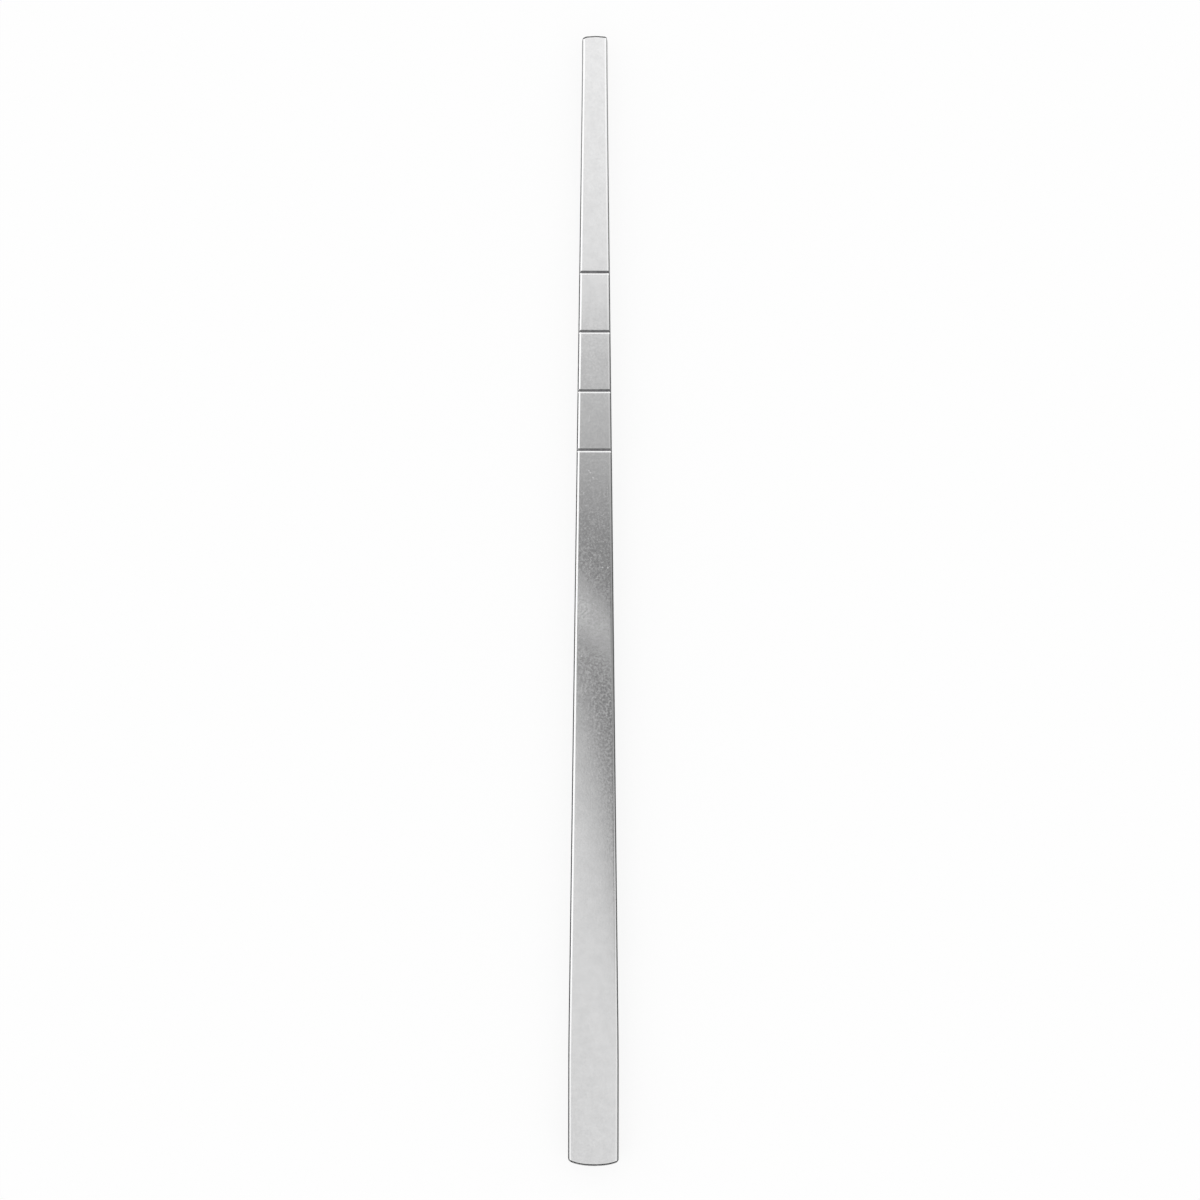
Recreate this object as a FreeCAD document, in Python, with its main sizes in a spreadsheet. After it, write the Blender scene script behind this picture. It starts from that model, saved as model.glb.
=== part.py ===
import FreeCAD, Part
import Sketcher
import math
import os

# Nasal chisel: one bar of stainless steel, forged, ground and polished in one piece.
# The cutting edge points along +Y and the struck end along -Y. The bar lies on its back:
# the flat back rests on z = 0, and the flat front face, with its depth marks, looks up.
# The origin is in the middle of the length, on the centreline of the back.
# All lengths are in millimetres.

SIZES = {
    # the bar seen from the front
    "overall_length": 191.0,
    "butt_width": 8.6,
    "butt_straight": 20.0,
    "tip_width": 4.35,
    "tip_straight": 4.0,
    "flank_blend_radius": 400.0,
    "tip_corner_radius": 0.7,
    # the bar seen from the side
    "handle_thickness": 4.5,
    "blade_thickness": 2.0,
    "back_taper_length": 93.0,
    "back_blend_radius": 600.0,
    "bevel_length": 7.0,
    "edge_land": 0.1,
    # the broken edges and the crowned end that is struck
    "long_edge_radius": 0.6,
    "butt_crown_radius": 12.0,
    "butt_edge_radius": 0.4,
    # the engraved depth marks, counted from the cutting edge
    "first_mark_depth": 40.0,
    "mark_spacing": 10.0,
    "mark_count": 4,
    "mark_width": 0.6,
    "mark_floor": 0.12,
    "mark_engraving": 0.2,
}

# Places and angles that several sketches share, as expressions of the sheet.
TIP = "sizes.overall_length / 2"
BUTT = "-sizes.overall_length / 2"
FRONT = "sizes.handle_thickness"
HALF_BUTT = "sizes.butt_width / 2"
HALF_TIP = "sizes.tip_width / 2"
BEVEL_START = f"({TIP} - sizes.bevel_length)"
BEVEL_SLOPE = "(sizes.blade_thickness - sizes.edge_land) / sizes.bevel_length"

# Every cutter reaches this far past the steel that it takes away.
CLEAR = "sizes.handle_thickness / 2"

# In plan the flanks turn from parallel to tapered at the butt, and back at the tip.
FLANK_BUTT_TURN = f"({BUTT} + sizes.butt_straight)"
FLANK_TIP_TURN = f"({TIP} - sizes.tip_straight)"
FLANK_ANGLE = f"atan(({HALF_BUTT} - {HALF_TIP}) / ({FLANK_TIP_TURN} - {FLANK_BUTT_TURN}))"
FLANK_TANGENT = f"sizes.flank_blend_radius * tan({FLANK_ANGLE} / 2)"

# In side view the back turns from flat to tapered.
BACK_RISE = "(sizes.handle_thickness - sizes.blade_thickness)"
BACK_TURN = f"({BEVEL_START} - sizes.back_taper_length)"
BACK_ANGLE = f"atan({BACK_RISE} / sizes.back_taper_length)"
BACK_TANGENT = f"sizes.back_blend_radius * tan({BACK_ANGLE} / 2)"


def make_sheet(doc):
    """The driving dimensions, one named cell each."""
    sheet = doc.addObject("Spreadsheet::Sheet", "sizes")
    for row, (name, size) in enumerate(SIZES.items(), start=1):
        sheet.set(f"A{row}", name)
        sheet.set(f"B{row}", str(size))
        sheet.setAlias(f"B{row}", name)
    doc.recompute()


def origin_part(body, role):
    """A plane or an axis of the body's own origin."""
    return next(f for f in body.Origin.OriginFeatures if f.Role == role)


def new_sketch(body, name, plane):
    sketch = body.newObject("Sketcher::SketchObject", name)
    sketch.AttachmentSupport = [(origin_part(body, plane), "")]
    sketch.MapMode = "FlatFace"
    return sketch


def dimension(sketch, kind, places, expression):
    """Adds one dimension to the sketch, bound to the sheet."""
    size = float(sketch.evalExpression(expression))
    index = sketch.addConstraint(Sketcher.Constraint(kind, *places, size))
    sketch.setExpression(f"Constraints[{index}]", expression)


def arc_between(start, end, radius, side):
    """The short arc between two points, its centre on that side of the way."""
    chord = end - start
    across = FreeCAD.Vector(-chord.y, chord.x, 0).normalize()
    reach = math.sqrt(radius**2 - (chord.Length / 2) ** 2)
    turn = 1 if side == "left" else -1
    centre = (start + end) / 2 + across * reach * turn
    angles = [math.atan2(p.y - centre.y, p.x - centre.x) for p in (start, end)]
    circle = Part.Circle(centre, FreeCAD.Vector(0, 0, 1), radius)
    return Part.ArcOfCircle(circle, *angles[::turn])


def draw_loop(sketch, corners, arcs):
    """Draws a closed loop through the corners, with every corner dimensioned.

    A corner is a pair of expressions. arcs holds, under the number of the corner where it
    starts, the radius of each arc and the side of the way on which its centre lies."""
    points = [FreeCAD.Vector(*map(sketch.evalExpression, corner), 0) for corner in corners]
    ends = []
    for number, start in enumerate(points):
        end = points[(number + 1) % len(points)]
        if number in arcs:
            radius, side = arcs[number]
            curve = arc_between(start, end, float(sketch.evalExpression(radius)), side)
            line = sketch.addGeometry(curve)
            dimension(sketch, "Radius", [line], radius)
            ends.append([(line, 1), (line, 2)] if side == "left" else [(line, 2), (line, 1)])
        else:
            line = sketch.addGeometry(Part.LineSegment(start, end))
            ends.append([(line, 1), (line, 2)])
    for number, corner in enumerate(corners):
        start = ends[number][0]
        sketch.addConstraint(Sketcher.Constraint("Coincident", *ends[number - 1][1], *start))
        dimension(sketch, "DistanceX", [-1, 1, *start], corner[0])
        dimension(sketch, "DistanceY", [-1, 1, *start], corner[1])


def add_feature(body, kind, name, sketch=None):
    feature = body.newObject(f"PartDesign::{kind}", name)
    if sketch:
        feature.Profile = (sketch, [""])
    return feature


def cut_through(body, name, sketch):
    """A pocket right through the bar, both ways from the sketch."""
    pocket = add_feature(body, "Pocket", name, sketch)
    pocket.Type = "ThroughAll"
    pocket.SideType = "Symmetric"
    return pocket


def mirror_across(body, name, pocket):
    """The same cut on the other side of the bar's middle plane."""
    mirrored = add_feature(body, "Mirrored", name)
    mirrored.Originals = [pocket]
    mirrored.MirrorPlane = (origin_part(body, "YZ_Plane"), [""])
    body.Tip = mirrored


def edges_of(shape, wanted):
    """The names of a shape's edges that pass the test."""
    return [f"Edge{i}" for i, edge in enumerate(shape.Edges, start=1) if wanted(edge)]


def round_edges(body, name, base, wanted, radius):
    body.Document.recompute()
    fillet = add_feature(body, "Fillet", name)
    fillet.Base = (base, edges_of(base.Shape, wanted))
    fillet.setExpression("Radius", radius)
    return fillet


def forge_bar(body):
    """The bar in side view: flat front, flat back under the handle, then the back's taper."""
    sketch = new_sketch(body, "side_profile", "YZ_Plane")
    corners = [
        (BUTT, "0"),
        (f"{BACK_TURN} - {BACK_TANGENT}", "0"),
        (
            f"{BACK_TURN} + {BACK_TANGENT} * cos({BACK_ANGLE})",
            f"{BACK_TANGENT} * sin({BACK_ANGLE})",
        ),
        (TIP, f"({TIP} - {BACK_TURN}) * tan({BACK_ANGLE})"),
        (TIP, FRONT),
        (BUTT, FRONT),
    ]
    draw_loop(sketch, corners, {1: ("sizes.back_blend_radius", "left")})
    pad = add_feature(body, "Pad", "bar", sketch)
    pad.SideType = "Symmetric"
    pad.setExpression("Length", f"sizes.butt_width + 2 * {CLEAR}")


def grind_flanks(body):
    """The outline in plan: parallel at the butt, tapering to the narrow tip."""
    sketch = new_sketch(body, "flank_outline", "XY_Plane")
    outside = f"{HALF_BUTT} + 2 * {CLEAR}"
    drift = f"{FLANK_TANGENT} * sin({FLANK_ANGLE})"
    rise = f"{FLANK_TANGENT} * cos({FLANK_ANGLE})"
    corners = [
        (HALF_BUTT, f"{BUTT} - {CLEAR}"),
        (HALF_BUTT, f"{FLANK_BUTT_TURN} - {FLANK_TANGENT}"),
        (f"{HALF_BUTT} - {drift}", f"{FLANK_BUTT_TURN} + {rise}"),
        (f"{HALF_TIP} + {drift}", f"{FLANK_TIP_TURN} - {rise}"),
        (HALF_TIP, f"{FLANK_TIP_TURN} + {FLANK_TANGENT}"),
        (HALF_TIP, f"{TIP} + {CLEAR}"),
        (outside, f"{TIP} + {CLEAR}"),
        (outside, f"{BUTT} - {CLEAR}"),
    ]
    blend = "sizes.flank_blend_radius"
    draw_loop(sketch, corners, {1: (blend, "left"), 3: (blend, "right")})
    mirror_across(body, "flanks", cut_through(body, "flank", sketch))


def break_long_edges(body):
    """Rounds every edge that runs along the bar."""

    def runs_along(edge):
        box = edge.BoundBox
        return box.YLength > box.XLength + box.ZLength

    round_edges(body, "long_edges", body.Tip, runs_along, "sizes.long_edge_radius")


def grind_bevel(body):
    """The single bevel, ground into the back, which leaves the cutting edge at the front."""
    sketch = new_sketch(body, "bevel_outline", "YZ_Plane")
    drop = f"{CLEAR} * {BEVEL_SLOPE}"
    floor = f"{FRONT} - sizes.blade_thickness - {drop}"
    corners = [
        (f"{BEVEL_START} - {CLEAR}", floor),
        (f"{TIP} + {CLEAR}", floor),
        (f"{TIP} + {CLEAR}", f"{FRONT} - sizes.edge_land + {drop}"),
    ]
    draw_loop(sketch, corners, {})
    cut_through(body, "bevel", sketch)


def hone_tip_corners(body):
    """The two ends of the cutting edge, rounded in plan."""
    sketch = new_sketch(body, "tip_corner_outline", "XY_Plane")
    corner = "sizes.tip_corner_radius"
    corners = [
        (HALF_TIP, f"{TIP} - {corner}"),
        (f"{HALF_TIP} - {corner}", TIP),
        (f"{HALF_TIP} - {corner}", f"{TIP} + {CLEAR}"),
        (f"{HALF_TIP} + {CLEAR}", f"{TIP} + {CLEAR}"),
        (f"{HALF_TIP} + {CLEAR}", f"{TIP} - {corner}"),
    ]
    draw_loop(sketch, corners, {0: (corner, "left")})
    mirror_across(body, "tip_corners", cut_through(body, "tip_corner", sketch))


def crown_butt(body):
    """The struck end: a shallow dome about the bar's centreline, with a rounded rim."""
    sketch = new_sketch(body, "crown_outline", "YZ_Plane")
    sketch.setExpression("AttachmentOffset.Base.y", f"{FRONT} / 2")
    crown = "sizes.butt_crown_radius"
    corners = [
        (BUTT, "0"),
        (f"{BUTT} + {crown}", crown),
        (f"{BUTT} - {CLEAR}", crown),
        (f"{BUTT} - {CLEAR}", "0"),
    ]
    draw_loop(sketch, corners, {0: (crown, "right")})
    groove = add_feature(body, "Groove", "butt_crown", sketch)
    groove.ReferenceAxis = (sketch, ["H_Axis"])
    body.Document.recompute()
    domes = [face for face in groove.Shape.Faces if isinstance(face.Surface, Part.Sphere)]
    rim = [edge for dome in domes for edge in dome.Edges]

    def on_rim(edge):
        return any(edge.isSame(other) for other in rim)

    round_edges(body, "butt_rim", groove, on_rim, "sizes.butt_edge_radius")


def engrave_marks(body):
    """The depth marks, cut across the front face, with sloping walls and a narrow floor."""
    sketch = new_sketch(body, "mark_outline", "YZ_Plane")
    middle = f"{TIP} - sizes.first_mark_depth"
    floor = f"{FRONT} - sizes.mark_engraving"
    corners = [
        (f"{middle} - sizes.mark_width / 2", FRONT),
        (f"{middle} - sizes.mark_floor / 2", floor),
        (f"{middle} + sizes.mark_floor / 2", floor),
        (f"{middle} + sizes.mark_width / 2", FRONT),
        (f"{middle} + sizes.mark_width / 2", f"{FRONT} + {CLEAR}"),
        (f"{middle} - sizes.mark_width / 2", f"{FRONT} + {CLEAR}"),
    ]
    draw_loop(sketch, corners, {})
    mark = cut_through(body, "mark", sketch)
    marks = add_feature(body, "LinearPattern", "marks")
    marks.Originals = [mark]
    marks.Direction = (origin_part(body, "Y_Axis"), [""])
    marks.Reversed = True
    marks.Mode = "Spacing"
    marks.setExpression("Offset", "sizes.mark_spacing")
    marks.setExpression("Occurrences", "sizes.mark_count")
    body.Tip = marks


def make_chisel(doc):
    body = doc.addObject("PartDesign::Body", "chisel")
    body.Label = "chisel"
    forge_bar(body)
    grind_flanks(body)
    break_long_edges(body)
    grind_bevel(body)
    hone_tip_corners(body)
    crown_butt(body)
    engrave_marks(body)
    doc.recompute()
    return body


def check_document(doc):
    """Stops where an object failed, a sketch is loose or a cut took nothing away."""
    for thing in doc.Objects:
        if "Invalid" in thing.State or "Error" in thing.State:
            raise RuntimeError(f"{thing.Name} failed")
        if thing.isDerivedFrom("Sketcher::SketchObject") and not thing.FullyConstrained:
            raise RuntimeError(f"{thing.Name} is not fully dimensioned")
        base = getattr(thing, "BaseFeature", None)
        if base and thing.Shape.Volume >= base.Shape.Volume:
            raise RuntimeError(f"{thing.Name} took nothing away")


def write_part(body):
    shape = body.Shape
    if shape.isNull() or not shape.isValid() or len(shape.Solids) != 1:
        raise RuntimeError(f"{body.Label} is not one sound solid")
    shape.exportStep(os.path.join("parts", f"{body.Label}.step"))
    box = shape.BoundBox
    print(body.Label, round(shape.Volume, 1), "mm3", round(box.YLength, 2), "mm long")


def main():
    doc = FreeCAD.newDocument("nasal_chisel")
    make_sheet(doc)
    chisel = make_chisel(doc)
    check_document(doc)
    os.makedirs("parts", exist_ok=True)
    write_part(chisel)


main()
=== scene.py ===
"""Nasal chisel: one ground and polished steel bar, with the studio table that it lies on.

Laid out as a Blender add-on and run as a script. Everything is in metres, in the frame of the
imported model: +Y runs along the bar to the cutting edge, +X across it, and +Z out of the face with
the depth marks.
"""

import math

import bmesh
import bpy
from bpy.props import FloatProperty, FloatVectorProperty, IntProperty, PointerProperty
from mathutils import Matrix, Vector


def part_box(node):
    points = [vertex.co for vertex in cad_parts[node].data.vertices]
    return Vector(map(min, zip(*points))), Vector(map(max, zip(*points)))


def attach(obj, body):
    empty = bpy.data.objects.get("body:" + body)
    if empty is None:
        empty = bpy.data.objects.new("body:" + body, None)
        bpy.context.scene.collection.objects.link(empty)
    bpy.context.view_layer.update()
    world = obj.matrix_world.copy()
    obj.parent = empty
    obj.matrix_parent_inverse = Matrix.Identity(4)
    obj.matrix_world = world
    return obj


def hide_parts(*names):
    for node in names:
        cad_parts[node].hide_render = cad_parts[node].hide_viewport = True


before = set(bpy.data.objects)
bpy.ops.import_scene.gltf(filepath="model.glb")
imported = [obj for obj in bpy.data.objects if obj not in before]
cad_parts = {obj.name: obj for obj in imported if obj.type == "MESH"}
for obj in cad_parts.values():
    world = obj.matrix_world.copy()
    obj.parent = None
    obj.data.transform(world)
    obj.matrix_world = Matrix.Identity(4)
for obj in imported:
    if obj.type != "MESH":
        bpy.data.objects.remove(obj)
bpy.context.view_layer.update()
BAR_LOW, BAR_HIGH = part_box("chisel")

bl_info = {
    "name": "Nasal chisel",
    "version": (1, 0),
    "blender": (4, 5, 0),
    "location": "View3D > Sidebar > Chisel",
    "description": "Models a slim one-piece surgical chisel and the table that it lies on",
    "category": "Add Mesh",
}

MM = 0.001

# Points nearer than this to a line or a plane count as on it.
TINY = 0.02 * MM

# A face whose normal has more than the first along an axis counts as facing that way, and one
# whose normal has less than the second counts as running along the axis.
SQUARE_ON = 0.9
ALONGSIDE = 0.1

# The least lean of its normal by which a face is known. Up: the front and its rounded edges.
FRONT_LEAN = 0.03

# Towards the tip: the bevel, and not the thinned back.
BEVEL_LEAN = 0.2

# To or from the tip: a wall of a depth mark.
WALL_LEAN = 0.05

# Towards the butt: the crown, and the crown with its rim.
CROWN_LEAN = 0.7
RIM_LEAN = 0.3

# Faces that meet at less than this are made one.
FLAT_ANGLE = math.radians(0.2)

# A cut takes the points within this of its plane, and makes no new ones beside them.
CUT_THRESHOLD = 0.0001 * MM

# Steps in the round of an edge, of a turn in the flanks, and of the turn in the back.
EDGE_SEGMENTS = 9
FLANK_SEGMENTS = 4
BACK_SEGMENTS = 6

# Rows of cuts in a honed corner, and over the front of the cutting edge.
CORNER_CUTS = 9
FRONT_CUTS = 4

# The length of the butt that the crown's lines run into, and how many of them there are on each
# side of the middle, across the bar and up it.
CROWN_BLOCK = 2.5 * MM
CROWN_LINES_ACROSS = 9
CROWN_LINES_UP = 4

# Sides of the egg that shapes the crown.
EGG_SEGMENTS = 160

# How far the flat of the struck end stays clear of its rounded rim.
RIM_MARGIN = 0.06 * MM

# Neighbouring faces that meet at less than this are shaded as one curve.
SMOOTH_ANGLE = math.radians(12.5)

# Small nicks on the front face, each dented and given a painted glint of lighter steel: x and y of
# each.
FACE_NICKS = (
    (-0.91 * MM, 22.08 * MM),
    (-0.64 * MM, 21.76 * MM),
    (-0.2 * MM, 20.92 * MM),
    (1.4 * MM, 5.71 * MM),
    (2.26 * MM, 5.68 * MM),
)

# The table's side, and the share of it that shines for the camera and for reflections.
TABLE_SIDE = 6.0
TABLE_SHINE = 0.8

# Brightness of what hangs over the bar, by place along it, as shares of the brightest level.
CARD_REACH = 130 * MM
OVERHEAD_BRIGHTEST = 1.3
OVERHEAD_LEVELS = (
    (-115 * MM, 0.65),
    (-78 * MM, 0.71),
    (-60 * MM, 0.675),
    (-44 * MM, 0.55),
    (-30 * MM, 0.31),
    (-16 * MM, 0.15),
    (10 * MM, 0.17),
    (32 * MM, 0.47),
    (52 * MM, 0.5),
    (64 * MM, 0.755),
    (85 * MM, 0.755),
    (115 * MM, 0.86),
)


class ChiselSizes(bpy.types.PropertyGroup):
    """Lengths of the bar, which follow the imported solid."""

    length: FloatProperty(
        name="Length",
        description="Cutting edge to the top of the crown",
        default=BAR_HIGH[1] - BAR_LOW[1],
        unit="LENGTH",
    )
    butt_width: FloatProperty(
        name="Butt width",
        description="Width of the handle at the struck end",
        default=BAR_HIGH[0] - BAR_LOW[0],
        unit="LENGTH",
    )
    thickness: FloatProperty(
        name="Thickness",
        description="Thickness of the handle",
        default=BAR_HIGH[2] - BAR_LOW[2],
        unit="LENGTH",
    )
    tip_width: FloatProperty(
        name="Tip width",
        description="Width of the blade at the cutting edge",
        default=4.35 * MM,
        unit="LENGTH",
    )
    butt_straight: FloatProperty(
        name="Straight butt",
        description="Length of the butt whose flanks run parallel",
        default=20 * MM,
        unit="LENGTH",
    )
    tip_straight: FloatProperty(
        name="Straight tip",
        description="Length of the tip whose flanks run parallel",
        default=4 * MM,
        unit="LENGTH",
    )
    flank_blend: FloatProperty(
        name="Flank blend",
        description="Half the length over which a flank turns from one line to the next",
        default=2.545 * MM,
        unit="LENGTH",
    )
    back_turn: FloatProperty(
        name="Back turn",
        description="Where along the bar the flat back starts to rise to the tip",
        default=-4.5 * MM,
        unit="LENGTH",
    )
    back_rise: FloatProperty(
        name="Back rise",
        description="How far the back has risen at the cutting edge, before the bevel is ground",
        default=2.688 * MM,
        unit="LENGTH",
    )
    back_blend: FloatProperty(
        name="Back blend",
        description="Half the length over which the back turns",
        default=8.06 * MM,
        unit="LENGTH",
    )
    edge_radius: FloatProperty(
        name="Edge radius",
        description="Radius of the four long edges",
        default=0.6 * MM,
        unit="LENGTH",
    )
    bevel_length: FloatProperty(
        name="Bevel length",
        description="Length of the ground bevel on the back of the tip",
        default=7 * MM,
        unit="LENGTH",
    )
    blade_thickness: FloatProperty(
        name="Blade thickness",
        description="Thickness of the blade where the bevel starts",
        default=2 * MM,
        unit="LENGTH",
    )
    edge_land: FloatProperty(
        name="Edge land",
        description="Width of the narrow flat that ends the cutting edge",
        default=0.1 * MM,
        unit="LENGTH",
    )
    left_corner: FloatProperty(
        name="Left corner",
        description="Radius of the honed left corner of the cutting edge",
        default=0.95 * MM,
        unit="LENGTH",
    )
    right_corner: FloatProperty(
        name="Right corner",
        description="Radius of the honed right corner of the cutting edge",
        default=0.65 * MM,
        unit="LENGTH",
    )
    tip_round: FloatProperty(
        name="Tip round",
        description="Radius that breaks the front of the cutting edge",
        default=0.45 * MM,
        unit="LENGTH",
    )
    crown_egg: FloatVectorProperty(
        name="Crown egg",
        description="Half the size, across, along and up, of the egg that shapes the struck end",
        subtype="XYZ_LENGTH",
        size=3,
        unit="LENGTH",
        default=(5.2 * MM, 1.67 * MM, 5 * MM),
    )
    crown_offset: FloatProperty(
        name="Crown offset",
        description="How far the highest point of the crown lies to the right of the middle",
        default=0.15 * MM,
        unit="LENGTH",
    )
    rim_radius: FloatProperty(
        name="Rim radius",
        description="Radius of the edge round the crown",
        default=0.4 * MM,
        unit="LENGTH",
    )


class MarkSizes(bpy.types.PropertyGroup):
    """Depth marks engraved across the front face."""

    count: IntProperty(name="Marks", description="Number of depth marks", default=4)
    first_depth: FloatProperty(
        name="First depth",
        description="Cutting edge to the first mark",
        default=40 * MM,
        unit="LENGTH",
    )
    spacing: FloatProperty(
        name="Spacing",
        description="One mark to the next",
        default=10 * MM,
        unit="LENGTH",
    )
    width: FloatProperty(
        name="Width",
        description="Width of a mark at the surface",
        default=0.68 * MM,
        unit="LENGTH",
    )
    floor_width: FloatProperty(
        name="Floor width",
        description="Width of the bottom of a mark",
        default=0.08 * MM,
        unit="LENGTH",
    )
    engraving: FloatProperty(
        name="Engraving depth",
        description="How deep a mark is cut",
        default=0.2 * MM,
        unit="LENGTH",
    )


class SteelFinish(bpy.types.PropertyGroup):
    """Colour and polish of the steel."""

    bright: FloatVectorProperty(
        name="Bright steel",
        description="Colour of the polished steel",
        subtype="COLOR",
        size=3,
        min=0,
        max=1,
        default=(0.78, 0.78, 0.782),
    )
    dull: FloatVectorProperty(
        name="Dull steel",
        description="Colour of the steel in its fine mottling",
        subtype="COLOR",
        size=3,
        min=0,
        max=1,
        default=(0.70, 0.70, 0.703),
    )
    # Painted highlight: a lighter steel colour on the rounded long edges, on the nicks and on the
    # wall of each mark nearer the butt.
    painted_highlight: FloatVectorProperty(
        name="Painted highlight",
        description="Colour of the rounded long edges and the bright walls of the marks",
        subtype="COLOR",
        size=3,
        min=0,
        max=1,
        default=(0.95, 0.95, 0.952),
    )
    # Painted shade: the dark colour on the bottom of each mark and on its wall nearer the tip.
    painted_mark_shade: FloatVectorProperty(
        name="Mark colour",
        description="Colour of the stain in an engraved mark",
        subtype="COLOR",
        size=3,
        min=0,
        max=1,
        default=(0.1, 0.1, 0.104),
    )
    grain_size: FloatProperty(
        name="Grain size",
        description="Size of the fine mottling that the polish leaves",
        default=0.38 * MM,
        unit="LENGTH",
        precision=5,
    )
    line_width: FloatProperty(
        name="Polish line width",
        description="Width of the faint lines that run along the bar",
        default=0.12 * MM,
        unit="LENGTH",
        precision=5,
    )
    gloss: FloatProperty(
        name="Gloss",
        description="Roughness of the best polished spots",
        subtype="FACTOR",
        min=0,
        max=1,
        default=0.112,
    )
    satin: FloatProperty(
        name="Satin",
        description="Roughness of the dullest spots of the mottling",
        subtype="FACTOR",
        min=0,
        max=1,
        default=0.225,
    )


class StudioSettings(bpy.types.PropertyGroup):
    """Floor, light and camera."""

    floor: FloatVectorProperty(
        name="Floor",
        description="Colour of the table",
        subtype="COLOR",
        size=3,
        min=0,
        max=1,
        default=(0.94, 0.94, 0.94),
    )
    sky: FloatProperty(
        name="Surround",
        description="Brightness of the white surround",
        default=1.0,
    )
    camera_height: FloatProperty(
        name="Camera height",
        description="Camera above the front face",
        default=0.6,
        unit="LENGTH",
    )
    framed_width: FloatProperty(
        name="Framed width",
        description="Width of the picture, measured on the front face",
        default=0.20257,
        unit="LENGTH",
    )
    camera_aside: FloatProperty(
        name="Camera aside",
        description="Camera to the right of the bar's centreline",
        default=1.0 * MM,
        unit="LENGTH",
    )
    camera_along: FloatProperty(
        name="Camera along",
        description="Camera past the middle of the bar, towards the tip",
        default=0.24 * MM,
        unit="LENGTH",
    )
    camera_turn: FloatProperty(
        name="Camera turn",
        description="Turn of the picture about the line of sight",
        subtype="ANGLE",
        default=math.radians(0.076),
    )


def start_clean():
    """Leaves edit mode and deselects everything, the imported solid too."""
    if bpy.context.mode != "OBJECT":
        bpy.ops.object.mode_set(mode="OBJECT")
    bpy.ops.object.select_all(action="DESELECT")


def take(piece):
    """Makes the piece the only selected object and the active one."""
    start_clean()
    piece.select_set(True)
    bpy.context.view_layer.objects.active = piece


def pick(piece, kind, test, needed=1):
    """In edit mode, selects the vertices, edges or faces that pass the test."""
    bpy.ops.mesh.select_mode(type=kind)
    bpy.ops.mesh.select_all(action="DESELECT")
    mesh = bmesh.from_edit_mesh(piece.data)
    mesh.normal_update()
    parts = {"VERT": mesh.verts, "EDGE": mesh.edges, "FACE": mesh.faces}[kind]
    chosen = [part for part in parts if test(part)]
    if len(chosen) < needed:
        raise RuntimeError(f"{piece.name}: {len(chosen)} {kind} found, {needed} needed")
    for part in chosen:
        part.select_set(True)
    mesh.select_flush_mode()
    bmesh.update_edit_mesh(piece.data)


def slice_at(place, normal):
    """Cuts what is selected along a plane and keeps both sides."""
    bpy.ops.mesh.bisect(plane_co=place, plane_no=normal, threshold=CUT_THRESHOLD)


def trim_at(place, normal):
    """Cuts the piece along a plane, takes off the side that the normal points to, and closes it."""
    bpy.ops.mesh.select_all(action="SELECT")
    bpy.ops.mesh.bisect(
        plane_co=place,
        plane_no=normal,
        use_fill=True,
        clear_outer=True,
        threshold=CUT_THRESHOLD,
    )


def slice_all(place, normal):
    """Cuts all faces along a plane and keeps both sides."""
    bpy.ops.mesh.select_all(action="SELECT")
    slice_at(place, normal)


def round_over(amount, segments):
    """Rounds the selected edges."""
    bpy.ops.mesh.bevel(
        offset_type="OFFSET",
        offset=amount,
        segments=segments,
        profile=0.5,
        affect="EDGES",
        clamp_overlap=False,
    )


def middle(part):
    """Middle of an edge or a face."""
    return sum((vertex.co for vertex in part.verts), Vector()) / len(part.verts)


def forge_bar(sizes):
    """A plain bar of the handle's section, as long as the finished one."""
    start_clean()
    bpy.ops.mesh.primitive_cube_add(
        size=1,
        location=(0, 0, sizes.thickness / 2),
        scale=(sizes.butt_width, sizes.length, sizes.thickness),
    )
    bar = bpy.context.active_object
    bar.name = bar.data.name = "ground_bar"
    bpy.ops.object.transform_apply(location=True, rotation=True, scale=True)
    bpy.ops.object.mode_set(mode="EDIT")
    return bar


def taper_flanks(bar, sizes):
    """Grinds both flanks in from the straight butt to the straight tip."""
    tip_start = sizes.length / 2 - sizes.tip_straight
    butt_end = sizes.butt_straight - sizes.length / 2
    for y in (butt_end, tip_start):
        slice_all((0, y, 0), (0, 1, 0))
    pick(bar, "VERT", lambda v: v.co.y > tip_start - TINY, needed=8)
    bpy.ops.transform.resize(
        value=(sizes.tip_width / sizes.butt_width, 1, 1), center_override=(0, 0, 0)
    )


def thin_back(bar, sizes):
    """Raises the back in a straight line from its turn to the tip."""
    slice_all((0, sizes.back_turn, 0), (0, 1, 0))
    tip = sizes.length / 2
    run = tip - sizes.back_turn
    for y in (tip - sizes.tip_straight, tip):
        pick(bar, "VERT", lambda v: abs(v.co.y - y) < TINY and v.co.z < TINY, needed=2)
        rise = sizes.back_rise * (y - sizes.back_turn) / run
        bpy.ops.transform.translate(value=(0, 0, rise))
    bpy.ops.mesh.select_all(action="SELECT")
    bpy.ops.mesh.dissolve_limited(angle_limit=FLAT_ANGLE)


def blend_turns(bar, sizes):
    """Turns the flanks and the back over gently instead of at a line."""

    def upright(edge):
        one, two = (vertex.co for vertex in edge.verts)
        away_from_ends = abs(one.y) < sizes.length / 2 - TINY
        return away_from_ends and abs(one.y - two.y) < TINY and abs(one.x - two.x) < TINY

    pick(bar, "EDGE", upright, needed=4)
    round_over(sizes.flank_blend, FLANK_SEGMENTS)

    def back_line(edge):
        return all(v.co.z < TINY and abs(v.co.y - sizes.back_turn) < TINY for v in edge.verts)

    pick(bar, "EDGE", back_line)
    round_over(sizes.back_blend, BACK_SEGMENTS)


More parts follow.
